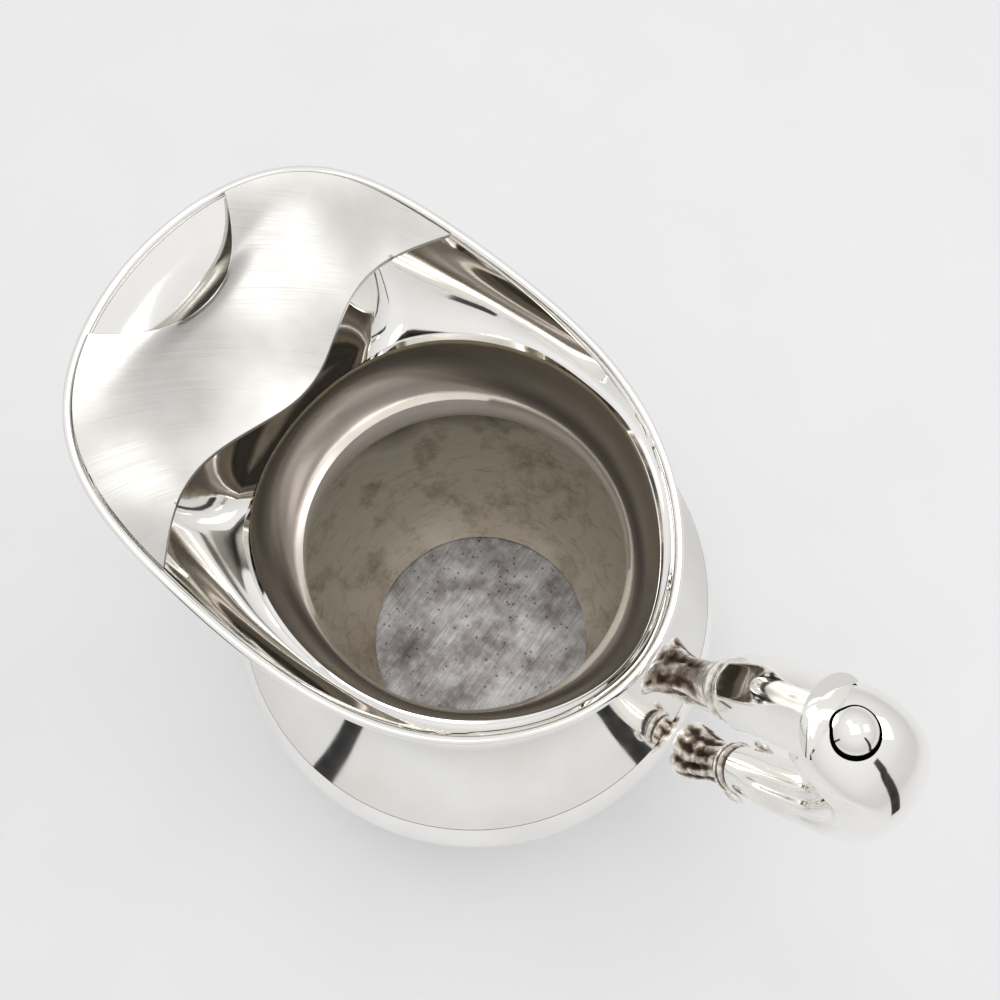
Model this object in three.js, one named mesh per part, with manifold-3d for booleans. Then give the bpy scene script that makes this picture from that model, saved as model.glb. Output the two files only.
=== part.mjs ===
// Silver-plated water pitcher with an ice guard across its spout and a scrolled handle.
// Millimetres, +Z up. The handle points to +X and the spout to -X; the pitcher is symmetric about y = 0.
import * as THREE from "three";
import { mergeVertices } from "three/addons/utils/BufferGeometryUtils.js";
import Module from "manifold-3d";

// Driving dimensions.
const WALL = 1.4;                  // sheet thickness
const GAP = 0.3;                   // clearance where two pieces meet
const FLOOR_RADIUS = 46;           // flat disc at the bottom
const FLOOR_TOP = 6.4;             // inner face of the floor above the table
const FOOT_RADIUS = 52;            // outer edge of the foot ring
const GIRTH_RADIUS = 81.7;         // widest part of the bulb
const GIRTH_HEIGHT = 76;
const BULB_BOTTOM = 4.2;           // where the lower curve of the bulb would close
const BULB_TOP = 145.4;            // where the upper curve of the bulb would close
const SHOULDER_HEIGHT = 100.5;     // creased seam between the bulb and the shoulder
const SEAT_WIDTH = 5;              // flat where the bowl stands on the foot ring
const THROAT_RADIUS = 46;          // inside, across the pitcher
const THROAT_HEIGHT = 143;         // narrowest level of the neck
const RIM_WIRE_RADIUS = 1.3;
const SOLDER_GAP = 0.45;          // between the lip and the rim wire
const GUARD_INSET = 1.8;           // from the rim's middle line to the guard's soldered side
const GUARD_RISE = 0.9;            // the side's height over the rim's middle line
const BALL_RADIUS = 5.6;
const TURN = 2 * Math.PI;
const ROUND_STEPS = 60;            // steps round the neck, lip and rim

const wasm = await Module();
wasm.setup();

const SILVER = { color: 0xd8d8d6, roughness: 0.08, metalness: 1 };
const SATIN_SILVER = { color: 0xdddedd, roughness: 0.32, metalness: 1 };
const TARNISHED_SILVER = { color: 0x8f8980, roughness: 0.25, metalness: 1 };
const WORN_FLOOR = { color: 0x8b8a8a, roughness: 0.5, metalness: 1 };
const OXIDISED_CASTING = { color: 0x8a8078, roughness: 0.3, metalness: 1 };

const pitcher = new THREE.Group();

function addPiece(name, geometry, finish) {
  const mesh = new THREE.Mesh(geometry, new THREE.MeshStandardMaterial(finish));
  mesh.name = name;
  pitcher.add(mesh);
  return mesh;
}

// ---- Surfaces from sections -------------------------------------------------------------------

// Skins a list of equal-length point loops. With no caps the last loop joins the first; otherwise
// each end is closed, by a fan round its middle or, where the loop runs out along one side of a
// plate and back along the other, by a strip between the two sides.
function loft(loops, caps) {
  const size = loops[0].length;
  const positions = loops.flat().flatMap((point) => [point.x, point.y, point.z]);
  const triangles = [];
  const spans = caps ? loops.length - 1 : loops.length;
  for (let i = 0; i < spans; i += 1) {
    const here = i * size;
    const next = ((i + 1) % loops.length) * size;
    for (let j = 0; j < size; j += 1) {
      const k = (j + 1) % size;
      triangles.push(here + j, next + j, next + k, here + j, next + k, here + k);
    }
  }
  const ends = caps ? [0, loops.length - 1] : [];
  for (const end of ends) {
    const faces = caps === "strip" ? stripFaces(size) : fanFaces(size);
    const centre = positions.length / 3;
    if (caps === "fan") {
      const middle = new THREE.Vector3();
      loops[end].forEach((point) => middle.addScaledVector(point, 1 / size));
      positions.push(middle.x, middle.y, middle.z);
    }
    for (const face of faces) {
      const corners = face.map((corner) => (corner === size ? centre : end * size + corner));
      triangles.push(...(end === 0 ? corners : corners.reverse()));
    }
  }
  const geometry = new THREE.BufferGeometry();
  geometry.setAttribute("position", new THREE.Float32BufferAttribute(positions, 3));
  geometry.setIndex(triangles);
  return facingOut(geometry);
}

// Triangles from every side of a loop to an extra point numbered size.
function fanFaces(size) {
  return Array.from({ length: size }, (_, j) => [size, j, (j + 1) % size]);
}

// Triangles between the first half of a loop and its second half.
function stripFaces(size) {
  const faces = [];
  for (let j = 0; j < size / 2 - 1; j += 1) {
    const across = size - 1 - j;
    faces.push([j, j + 1, across - 1], [j, across - 1, across]);
  }
  return faces;
}

// Signed volume of a closed triangle mesh.
function volumeOf(geometry) {
  const position = geometry.getAttribute("position");
  const index = geometry.getIndex();
  const [a, b, c] = [new THREE.Vector3(), new THREE.Vector3(), new THREE.Vector3()];
  let sum = 0;
  for (let i = 0; i < index.count; i += 3) {
    a.fromBufferAttribute(position, index.getX(i));
    b.fromBufferAttribute(position, index.getX(i + 1));
    c.fromBufferAttribute(position, index.getX(i + 2));
    sum += a.dot(b.cross(c)) / 6;
  }
  return sum;
}

// Turns a closed mesh right side out.
function facingOut(geometry) {
  if (volumeOf(geometry) < 0) {
    geometry.index.array.reverse();
  }
  geometry.computeVertexNormals();
  return geometry;
}

// A piece turned about the Z axis from a profile of [radius, height] pairs. The profile starts and
// ends on the axis, or else it closes on itself.
function turned(profile) {
  const points = profile.map(([radius, height]) => new THREE.Vector2(radius, height));
  if (points[0].x > 0) {
    points.push(points[0].clone());
  }
  const geometry = new THREE.LatheGeometry(points, ROUND_STEPS);
  geometry.rotateX(Math.PI / 2);
  geometry.deleteAttribute("normal");
  geometry.deleteAttribute("uv");
  return facingOut(mergeVertices(geometry, 1e-3));
}

// Skins a sheet between two stations of the upper meridians, all the way round. The wall grows
// inward, square to the sheet or, at the shoulder seam, square to the bulb that it stands on. An
// end that meets more of the same sheet stands back by half the gap.
function sheetRound(first, last) {
  const meridians = Array.from({ length: ROUND_STEPS }, (_, i) => upperMeridian((TURN * i) / ROUND_STEPS));
  const loops = meridians.map((meridian, i) => {
    const previous = meridians[(i + ROUND_STEPS - 1) % ROUND_STEPS];
    const next = meridians[(i + 1) % ROUND_STEPS];
    const [outside, inside] = [[], []];
    for (let k = first; k <= last; k += 1) {
      const before = meridian[Math.max(k - 1, 0)];
      const after = meridian[Math.min(k + 1, RIM_STATION)];
      const along = after.clone().sub(before).normalize();
      if (k === RIM_STATION) {
        const earlier = before.clone().sub(meridian[k - 2]);
        along.copy(after).sub(before).multiplyScalar(1.5).addScaledVector(earlier, -0.5).normalize();
      }
      const across = next[k].clone().sub(previous[k]);
      const inward = (k === 0 ? bulbAlong(across) : along).clone().cross(across).normalize();
      const startsAtSeam = k === first && k > 0;
      const endsAtSeam = k === last && k < RIM_STATION;
      const setBack = (startsAtSeam ? GAP / 2 : 0) - (endsAtSeam ? GAP / 2 : 0);
      const point = meridian[k].clone().addScaledVector(along, setBack);
      outside.push(point);
      inside.unshift(point.clone().addScaledVector(inward, WALL));
    }
    return [...outside, ...inside];
  });
  return loft(loops);
}

// A bar through stations { x, z, wide, deep } in the plane y = 0: wide is its half width along y,
// deep its half thickness in the plane. Both ends are capped.
function bar(stations, steps, sides) {
  const centres = stations.map(({ x, z }) => new THREE.Vector3(x, 0, z));
  const halves = stations.map(({ wide, deep }) => new THREE.Vector3(wide, deep, 0));
  const path = new THREE.CatmullRomCurve3(centres, false, "centripetal");
  const sizes = new THREE.CatmullRomCurve3(halves);
  const loops = [];
  for (let i = 0; i <= steps; i += 1) {
    const along = i / steps;
    const centre = path.getPoint(along);
    const tangent = path.getTangent(along);
    const across = new THREE.Vector3(tangent.z, 0, -tangent.x);
    const size = sizes.getPoint(along);
    const loop = [];
    for (let j = 0; j < sides; j += 1) {
      const angle = (TURN * j) / sides;
      const point = centre.clone().addScaledVector(across, size.y * Math.cos(angle));
      point.y += size.x * Math.sin(angle);
      loop.push(point);
    }
    loops.push(loop);
  }
  return loft(loops, "fan");
}

// Cuts one closed mesh by another.
function cut(geometry, tool) {
  const [solid, knife] = [geometry, tool].map((source) => {
    const plain = source.clone();
    plain.deleteAttribute("normal");
    plain.deleteAttribute("uv");
    const merged = mergeVertices(plain, 1e-4);
    const vertProperties = new Float32Array(merged.getAttribute("position").array);
    const triVerts = new Uint32Array(merged.getIndex().array);
    return new wasm.Manifold(new wasm.Mesh({ numProp: 3, vertProperties, triVerts }));
  });
  const result = solid.subtract(knife).getMesh();
  const out = new THREE.BufferGeometry();
  out.setAttribute("position", new THREE.BufferAttribute(new Float32Array(result.vertProperties), 3));
  out.setIndex(new THREE.BufferAttribute(new Uint32Array(result.triVerts), 1));
  out.computeVertexNormals();
  return out;
}

// ---- Body -------------------------------------------------------------------------------------

// Outer radius of the bulb: a full-bellied lower half and a rounder upper half.
function bulbRadius(height) {
  const upper = height > GIRTH_HEIGHT;
  const reach = upper ? BULB_TOP - GIRTH_HEIGHT : GIRTH_HEIGHT - BULB_BOTTOM;
  const power = upper ? 2 : 3;
  return GIRTH_RADIUS * (1 - Math.abs((height - GIRTH_HEIGHT) / reach) ** power) ** (1 / power);
}

// Direction up the bulb at the shoulder seam, for a given direction round it.
function bulbAlong(across) {
  const outward = new THREE.Vector3(across.y, -across.x, 0).normalize();
  const slope = bulbRadius(SHOULDER_HEIGHT + 0.5) - bulbRadius(SHOULDER_HEIGHT - 0.5);
  return outward.multiplyScalar(slope).setZ(1).normalize();
}

function bodyBowl() {
  const steps = 10;
  const seat = FLOOR_RADIUS + GAP;
  const seatEnd = FLOOR_RADIUS + SEAT_WIDTH;
  const ledge = FLOOR_TOP - 2.5 * GAP;
  const lowest = BULB_BOTTOM + 4;
  const outside = [[seat, BULB_BOTTOM + GAP], [seatEnd, BULB_BOTTOM + 2 * GAP]];
  const inside = [[seat, ledge], [seatEnd - 1, ledge]];
  for (let i = 0; i <= steps; i += 1) {
    const height = lowest + (SHOULDER_HEIGHT - lowest) * (i / steps) ** 1.25;
    outside.push([bulbRadius(height), height]);
    const lean = Math.atan2(bulbRadius(height + 0.5) - bulbRadius(height - 0.5), 1);
    inside.push([bulbRadius(height) - WALL * Math.cos(lean), height + WALL * Math.sin(lean)]);
  }
  return turned([...outside, ...inside.reverse()]);
}

function baseDisc() {
  const under = FLOOR_TOP - WALL;
  const bevel = 0.5;
  return turned([[0, under], [FLOOR_RADIUS, under], [FLOOR_RADIUS, FLOOR_TOP - bevel],
    [FLOOR_RADIUS - bevel, FLOOR_TOP], [0, FLOOR_TOP]]);
}

function footRing() {
  const top = BULB_BOTTOM;
  const tread = 1.2;
  const slope = 1.6;
  const inner = FLOOR_RADIUS - 1;
  return turned([[inner, 0], [FOOT_RADIUS, 0], [FOOT_RADIUS, tread], [FOOT_RADIUS - slope, top - slope],
    [FOOT_RADIUS - 2, top], [inner + 2, top], [inner, top - slope]]);
}

// ---- Neck, lip and rim ------------------------------------------------------------------------

// The throat is a little longer towards the spout than across.
function throatAt(angle) {
  const radius = THROAT_RADIUS + WALL;
  return new THREE.Vector3(radius * 1.03 * Math.cos(angle) - 2.3, radius * Math.sin(angle), THROAT_HEIGHT);
}

// The bend where the collar turns into the lip: low at the spout, high at the sides.
function bendAt(angle) {
  const c = Math.cos(angle);
  const across = 53.5 * Math.sin(angle) * (1 - 0.12 * c ** 3);
  const height = THROAT_HEIGHT + 20.6 + 1.75 * c - 5.9 * Math.cos(2 * angle);
  return new THREE.Vector3(-4 + 59.7 * c, across, height);
}

// The rim climbs from the handle to the spout and narrows towards the tip.
function rimAt(angle) {
  const c = Math.cos(angle);
  const across = 59.9 * Math.sin(angle) * (1 + 0.21 * c ** 2 - 0.25 * c ** 3);
  const height = THROAT_HEIGHT + 41.8 - 23.4 * c + 1.8 * Math.cos(2 * angle);
  return new THREE.Vector3(-19.6 + 77.5 * c, across, height);
}

function alongRim(angle) {
  return rimAt(angle + 0.01).sub(rimAt(angle - 0.01)).normalize();
}

// The rim's middle lies nearer the spout than the neck's, so the rim is met a little earlier.
function rimTurn(angle) {
  return angle - 0.19 * Math.sin(angle);
}

// Stations counted up the outer meridian: shoulder seam, throat, bend and the rim wire.
const STEPS_TO_THROAT = 8;
const STEPS_TO_BEND = 6;
const STEPS_TO_RIM = 7;
const BEND_STATION = STEPS_TO_THROAT + STEPS_TO_BEND;
const RIM_STATION = BEND_STATION + STEPS_TO_RIM;

// Goes a fraction of the way from one point to another: flat in plan, tall in height.
function between(start, end, flat, tall) {
  const point = start.clone().lerp(end, flat);
  return point.setZ(THREE.MathUtils.lerp(start.z, end.z, tall));
}

// Outer meridian from the shoulder seam through the throat and the bend to just under the rim wire.
// The shoulder slopes at about 40 degrees from its crease, the collar rises steeply from a small
// ledge over the throat, and the lip is straight by the handle, dished at the sides and flared at
// the spout.
function upperMeridian(angle) {
  const outward = new THREE.Vector3(Math.cos(angle), Math.sin(angle), 0);
  const foot = SHOULDER_HEIGHT + GAP;
  const shoulder = outward.clone().multiplyScalar(bulbRadius(foot)).setZ(foot);
  const leaving = shoulder.clone().addScaledVector(outward, -16).setZ(foot + 13.5);
  const throat = throatAt(angle);
  const below = throat.clone().setZ(THROAT_HEIGHT - 26);
  const bend = bendAt(angle);
  const rim = rimAt(rimTurn(angle));
  const dish = THREE.MathUtils.smoothstep(-Math.cos(angle), -0.2, 0.4);
  const flare = THREE.MathUtils.smoothstep(-Math.cos(angle), 0.75, 0.95);
  const leave = between(bend, rim, 0.33 + 0.22 * dish - 0.45 * flare, 0.33 - 0.23 * dish + 0.3 * flare);
  const arrive = between(rim, bend, 0.33 - 0.28 * dish + 0.5 * flare, 0.33 + 0.17 * dish - 0.3 * flare);
  const wireAxis = alongRim(rimTurn(angle));
  const upToWire = rim.clone().sub(arrive);
  upToWire.addScaledVector(wireAxis, -upToWire.dot(wireAxis)).setLength(RIM_WIRE_RADIUS + SOLDER_GAP);
  const edge = rim.clone().sub(upToWire);
  const ledge = between(throat, bend, 0.35, 0.22);
  const steep = between(throat, bend, 0.85, 0.5);
  const neck = new THREE.CubicBezierCurve3(shoulder, leaving, below, throat).getPoints(STEPS_TO_THROAT);
  const collar = new THREE.CubicBezierCurve3(throat, ledge, steep, bend).getPoints(STEPS_TO_BEND);
  const lip = new THREE.CubicBezierCurve3(bend, leave, arrive, edge).getPoints(STEPS_TO_RIM);
  return [...neck, ...collar.slice(1), ...lip.slice(1)];
}

// Round wire along the rim.
function rimWire() {
  const loops = [];
  const sides = 8;
  for (let i = 0; i < ROUND_STEPS; i += 1) {
    const angle = rimTurn((TURN * i) / ROUND_STEPS);
    const along = alongRim(angle);
    const sideways = new THREE.Vector3(along.y, -along.x, 0).normalize();
    const upward = sideways.clone().cross(along);
    const loop = [];
    for (let j = 0; j < sides; j += 1) {
      const around = (TURN * j) / sides;
      const point = rimAt(angle).addScaledVector(sideways, RIM_WIRE_RADIUS * Math.cos(around));
      loop.push(point.addScaledVector(upward, RIM_WIRE_RADIUS * Math.sin(around)));
    }
    loops.push(loop);
  }
  return loft(loops);
}

// ---- Ice guard --------------------------------------------------------------------------------

// Upper face of the guard. side runs from -1 to 1 across the spout, forward from 0 at the back
// edge to 1 at the pouring edge. The back edge has two scallops with a round cusp between them,
// the front edge is one crescent, and the plate dips a little between its soldered sides.
function guardPoint(side, forward) {
  const angle = THREE.MathUtils.degToRad(111 + 52 * forward);
  const rim = rimAt(angle);
  const along = alongRim(angle);
  const inward = new THREE.Vector3(-along.y, along.x, 0).setLength(GUARD_INSET);
  const edge = rim.clone().add(inward);
  const soften = 0.12;
  const fraction = (Math.hypot(side, soften) - soften) / (Math.hypot(1, soften) - soften);
  const scallop = 9 * Math.sin(Math.PI * fraction ** 1.2) + 3 * (1 - side ** 2);
  const crescent = 16 * (1 - side ** 2);
  const shift = forward ** 2 * crescent - (1 - forward) ** 2 * scallop;
  const dish = 2.4 * (1 - side ** 4);
  const rise = GUARD_RISE + 1.4 * THREE.MathUtils.smoothstep(forward, 0, 0.6);
  return new THREE.Vector3(edge.x + shift, side * edge.y, edge.z + rise - dish);
}

function iceGuard() {
  const across = 20;
  const along = 8;
  const loops = [];
  for (let i = 0; i <= across; i += 1) {
    const side = (2 * i) / across - 1;
    const top = [];
    for (let j = 0; j <= along; j += 1) {
      top.push(guardPoint(side, j / along));
    }
    const bottom = top.map((point) => point.clone().setZ(point.z - WALL)).reverse();
    loops.push([...top, ...bottom]);
  }
  return loft(loops, "strip");
}

// ---- Handle -----------------------------------------------------------------------------------

const BALL_CENTRE = new THREE.Vector3(98.1, 0, 215.2);

// A ball with its poles on the Y axis.
function ball(centre, radius) {
  const geometry = new THREE.SphereGeometry(radius, 16, 10);
  geometry.translate(centre.x, centre.y, centre.z);
  geometry.deleteAttribute("normal");
  geometry.deleteAttribute("uv");
  return facingOut(mergeVertices(geometry, 1e-3));
}

function round(x, z, radius) {
  return { x, z, wide: radius, deep: radius };
}

const upperSocket = bar([
  { x: 61.6, z: 163.2, wide: 9, deep: 3.2 },
  { x: 65, z: 167.5, wide: 6.8, deep: 4.6 },
  { x: 70, z: 174, wide: 5.4, deep: 5.2 },
  { x: 75.6, z: 183.6, wide: 6, deep: 6 },
], 10, 16);

const upperTongue = bar([
  { x: 66.4, z: 156.9, wide: 4.2, deep: 1.2 },
  { x: 71.8, z: 162.7, wide: 4.4, deep: 1.4 },
  { x: 77.4, z: 170.6, wide: 4.2, deep: 1.6 },
  { x: 83.4, z: 179.6, wide: 2, deep: 1.2 },
], 8, 10);

const upperKnuckle = bar([
  round(76.3, 184.6, 6.6),
  round(77.2, 186.6, 7.8),
  round(78.1, 188.6, 7.2),
], 4, 20);

const upperArm = bar([
  round(78.6, 189.6, 7.6),
  round(80.2, 192.8, 8.7),
  round(85, 202.8, 9.2),
  round(94.4, 214.4, 10),
], 12, 20);

const loop = bar([
  { x: 98.4, z: 205.6, wide: 9.4, deep: 8 },
  { x: 102.5, z: 206.8, wide: 11.4, deep: 9.6 },
  { x: 108.8, z: 203.8, wide: 12.8, deep: 9.8 },
  { x: 113.4, z: 193, wide: 12.4, deep: 9.6 },
  { x: 117.6, z: 172, wide: 10.8, deep: 9.6 },
  round(118.4, 149, 9.1),
  round(110.2, 127, 8),
  round(100.4, 110.8, 7),
], 24, 20);

const lowerKnuckle = bar([
  round(99.9, 109.7, 7),
  round(99, 107.6, 8),
  round(98.1, 105.6, 7.2),
], 4, 20);

const lowerSocket = bar([
  { x: 97.6, z: 104.6, wide: 6.6, deep: 6.4 },
  { x: 94.2, z: 97.4, wide: 7, deep: 6.4 },
  { x: 90.6, z: 91.2, wide: 8.4, deep: 7.4 },
  { x: 87.6, z: 86.4, wide: 9.6, deep: 8.8 },
], 8, 18);

// A small flattened bud on one side of the lower arm; side is -1 or 1.
function bud(side) {
  const geometry = ball(new THREE.Vector3(), 1);
  geometry.scale(3.2, 1.1, 3);
  geometry.translate(101.8, 8.7 * side, 113.2);
  return geometry;
}

// ---- Assembly ---------------------------------------------------------------------------------

const bowlClearance = [[0, 60], [GIRTH_RADIUS + GAP, 60]];
for (let height = GIRTH_HEIGHT; height <= SHOULDER_HEIGHT; height += 4) {
  bowlClearance.push([bulbRadius(height) + GAP, height]);
}
bowlClearance.push([0, SHOULDER_HEIGHT]);
const armEnd = ball(new THREE.Vector3(104, 0, 206.6), 12.2);
const ballSeat = ball(BALL_CENTRE, BALL_RADIUS + GAP);

addPiece("body_bowl", bodyBowl(), SILVER);
addPiece("base_disc", baseDisc(), WORN_FLOOR);
addPiece("foot_ring", footRing(), SILVER);
addPiece("neck_collar", sheetRound(0, BEND_STATION), TARNISHED_SILVER);
addPiece("spout_lip", sheetRound(BEND_STATION, RIM_STATION), SILVER);
addPiece("rim_wire", rimWire(), SILVER);
addPiece("ice_guard", iceGuard(), SATIN_SILVER);
addPiece("upper_leaf_socket", upperSocket, OXIDISED_CASTING);
addPiece("upper_leaf_tongue", upperTongue, OXIDISED_CASTING);
addPiece("upper_knuckle", upperKnuckle, OXIDISED_CASTING);
addPiece("handle_upper_arm", cut(cut(upperArm, armEnd), ballSeat), SILVER);
addPiece("handle_loop", cut(loop, ballSeat), SILVER);
addPiece("scroll_ball", ball(BALL_CENTRE, BALL_RADIUS), SILVER);
addPiece("handle_bud_near", bud(-1), OXIDISED_CASTING);
addPiece("handle_bud_far", bud(1), OXIDISED_CASTING);
addPiece("lower_knuckle", lowerKnuckle, OXIDISED_CASTING);
addPiece("lower_leaf_socket", cut(lowerSocket, turned(bowlClearance)), OXIDISED_CASTING);

// The row's origin is under the middle of the whole pitcher, on the table.
const extent = new THREE.Box3().setFromObject(pitcher);
pitcher.position.x = -(extent.min.x + extent.max.x) / 2;

export default pitcher;
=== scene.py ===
# %% [markdown]
# # A silver-plated water pitcher
# The pitcher is raised from sheet, with a soldered ice guard and a cast handle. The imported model
# gives every piece its place. Each cell builds one piece again as a smooth mesh in that same frame
# and gives it the finish that the real metal has.

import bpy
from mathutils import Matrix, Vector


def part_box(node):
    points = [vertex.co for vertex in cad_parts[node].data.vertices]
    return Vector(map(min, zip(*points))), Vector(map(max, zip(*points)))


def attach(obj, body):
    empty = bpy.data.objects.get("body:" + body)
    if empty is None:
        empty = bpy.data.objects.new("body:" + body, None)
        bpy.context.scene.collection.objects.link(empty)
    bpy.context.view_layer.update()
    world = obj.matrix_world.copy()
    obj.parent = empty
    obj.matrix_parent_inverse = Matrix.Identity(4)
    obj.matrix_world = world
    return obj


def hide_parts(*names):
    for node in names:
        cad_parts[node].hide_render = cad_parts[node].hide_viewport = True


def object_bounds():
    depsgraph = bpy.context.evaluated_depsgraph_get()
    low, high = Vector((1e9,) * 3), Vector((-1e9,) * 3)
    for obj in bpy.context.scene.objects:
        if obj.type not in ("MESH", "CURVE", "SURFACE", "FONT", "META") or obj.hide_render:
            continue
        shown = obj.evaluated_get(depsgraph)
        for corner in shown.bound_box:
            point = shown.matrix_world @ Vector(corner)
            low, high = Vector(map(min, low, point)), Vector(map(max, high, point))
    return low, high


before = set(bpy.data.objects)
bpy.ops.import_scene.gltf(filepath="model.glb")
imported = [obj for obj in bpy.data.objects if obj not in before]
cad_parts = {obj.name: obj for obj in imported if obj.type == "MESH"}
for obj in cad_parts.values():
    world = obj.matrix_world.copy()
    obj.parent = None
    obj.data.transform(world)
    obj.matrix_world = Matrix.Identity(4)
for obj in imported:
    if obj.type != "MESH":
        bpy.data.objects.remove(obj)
cad_low, cad_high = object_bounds()
size_mm = [round(1000 * side) for side in cad_high - cad_low]
print("frame:", len(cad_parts), "nodes,", size_mm, "mm")

# %% [markdown]
# ## Working units
# A silversmith works in millimetres from the centre line of the body, and Blender works in
# metres from the origin of the row. The bowl is turned about its own centre line, so the middle
# of its box gives that line, and one function carries points from the bench to the row.

# %% Millimetres from the centre line
import math

import bpy
import numpy as np
from mathutils import Matrix, Vector, noise

MM = 0.001
TURN = 2 * math.pi
bowl_low, bowl_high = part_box("body_bowl")
AXIS_X = (bowl_low.x + bowl_high.x) / 2


def in_row(points):
    """Millimetres about the centre line to metres in the row frame."""
    return np.asarray(points, float) * MM + np.array([AXIS_X, 0, 0])


print("centre line at x =", round(AXIS_X / MM, 2), "mm")

# %% [markdown]
# ## One way to make every mesh
# Nearly every piece is a grid of points: rings round a form, or ribs along a sheet. A grid that
# closes both ways is a shell with a wall, and one that closes round is a bar with two ends to cap.
# Working from grids keeps the faces even, so polished metal reflects without ripples.

# %% Grid skins
def grid_faces(rows, columns, rows_close=True, columns_close=True):
    """Quads between neighbouring points of a rows x columns grid."""
    faces = []
    for i in range(rows if rows_close else rows - 1):
        for j in range(columns if columns_close else columns - 1):
            k, m = (i + 1) % rows, (j + 1) % columns
            faces.append((i * columns + j, k * columns + j, k * columns + m, i * columns + m))
    return faces


def new_piece(name, points, faces, finishes, sharp_degrees=40):
    """A closed, smooth shaded piece on the body, standing for the CAD node of the same name."""
    mesh = bpy.data.meshes.new(name)
    mesh.from_pydata([tuple(p) for p in in_row(points)], [], faces)
    face_out(mesh)
    mesh.polygons.foreach_set("use_smooth", [True] * len(mesh.polygons))
    mesh.set_sharp_from_angle(angle=math.radians(sharp_degrees))
    for finish in finishes:
        mesh.materials.append(finish)
    piece = bpy.data.objects.new("visual_" + name, mesh)
    bpy.context.scene.collection.objects.link(piece)
    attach(piece, "root")
    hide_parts(name)
    return piece


def face_out(mesh):
    """Turns the faces of a closed mesh outwards, by the sign of its volume."""
    volume = 0.0
    for face in mesh.polygons:
        corners = [mesh.vertices[i].co for i in face.vertices]
        for b, c in zip(corners[1:], corners[2:]):
            volume += corners[0].dot(b.cross(c))
    if volume < 0:
        mesh.flip_normals()
    mesh.update()


# %% [markdown]
# ## Colours and nodes
# Colours are given as sRGB hex, and shaders work in linear light, so one function turns
# the one into the other. A second function adds a node with its settings and links, which keeps
# each material as short as a recipe.

# %% Material helpers
def linear(hex_colour):
    """#rrggbb to linear RGBA."""
    parts = [int(hex_colour[i:i + 2], 16) / 255 for i in (1, 3, 5)]
    return tuple(c / 12.92 if c <= 0.04045 else ((c + 0.055) / 1.055) ** 2.4 for c in parts) + (1,)


def add(tree, kind, inputs, stops=(), **settings):
    """A new node with its settings. An input that is a socket is linked, and any other is set."""
    node = tree.nodes.new("ShaderNode" + kind)
    for name, value in settings.items():
        setattr(node, name, value)
    for key, value in inputs.items():
        if isinstance(value, bpy.types.NodeSocket):
            tree.links.new(value, node.inputs[key])
        else:
            node.inputs[key].default_value = value
    for i, (position, colour) in enumerate(stops):
        elements = node.color_ramp.elements
        stop = elements[i] if i < 2 else elements.new(position)
        stop.position, stop.color = position, colour
    return node


def new_material(name):
    """An empty material and its node tree, with positions in millimetres ready to read."""
    material = bpy.data.materials.new(name)
    material.use_nodes = True
    tree = material.node_tree
    tree.nodes.clear()
    place = add(tree, "TexCoord", {})
    bench = add(tree, "VectorMath", {0: place.outputs["Object"], "Scale": 1 / MM},
                operation="SCALE")
    return material, tree, bench.outputs["Vector"]


def finish_off(tree, shader):
    """Joins the last shader to the material's surface."""
    output = tree.nodes.new("ShaderNodeOutputMaterial")
    tree.links.new(shader.outputs[0], output.inputs["Surface"])


def grey(value):
    """A grey for a ramp that drives a number."""
    return (value, value, value, 1)


# %% [markdown]
# ## Polished silver plate
# The outside is electroplated silver, buffed with rouge. That gives the eye a mirror that is
# slightly warm, with a faint haze where cloths have rubbed it for years and hairline scratches
# too fine to see one by one. The scratches are about 0.6 mm apart here, coarser than the real
# ones, which would vanish in the picture.

# %% Polished silver
def polished_silver():
    material, tree, bench = new_material("silver_plate_polished")
    haze = add(tree, "TexNoise", {"Vector": bench, "Scale": 1 / 22, "Detail": 4.0})
    gloss = add(tree, "ValToRGB", {0: haze.outputs["Fac"]},
                [(0.35, grey(0.035)), (0.7, grey(0.11))])
    tone = add(tree, "ValToRGB", {0: haze.outputs["Fac"]},
               [(0.3, linear("#fbfaf7")), (0.75, linear("#f1eee8"))])
    hairlines = add(tree, "TexNoise", {"Vector": bench, "Scale": 1 / 0.6, "Detail": 3.0})
    dents = add(tree, "TexNoise", {"Vector": bench, "Scale": 1 / 16, "Detail": 1.0})
    fine = add(tree, "Bump", {"Strength": 0.012, "Distance": 0.2 * MM,
                              "Height": hairlines.outputs["Fac"]})
    wavy = add(tree, "Bump", {"Strength": 0.06, "Distance": 1.0 * MM,
                              "Height": dents.outputs["Fac"], "Normal": fine.outputs["Normal"]})
    finish_off(tree, add(tree, "BsdfPrincipled", {
        "Base Color": tone.outputs["Color"], "Metallic": 1.0,
        "Roughness": gloss.outputs["Color"], "Normal": wavy.outputs["Normal"]}))
    return material


SILVER = polished_silver()

# %% [markdown]
# ## Brushed guard
# The ice guard was wiped with fine emery before plating, in arcs from one side to the other. Fine
# parallel scratches spread a highlight across themselves, so the sheet looks satin and nearly
# white under a big soft light. The strokes are drawn as noise squeezed along arcs 0.3 mm apart.

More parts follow.
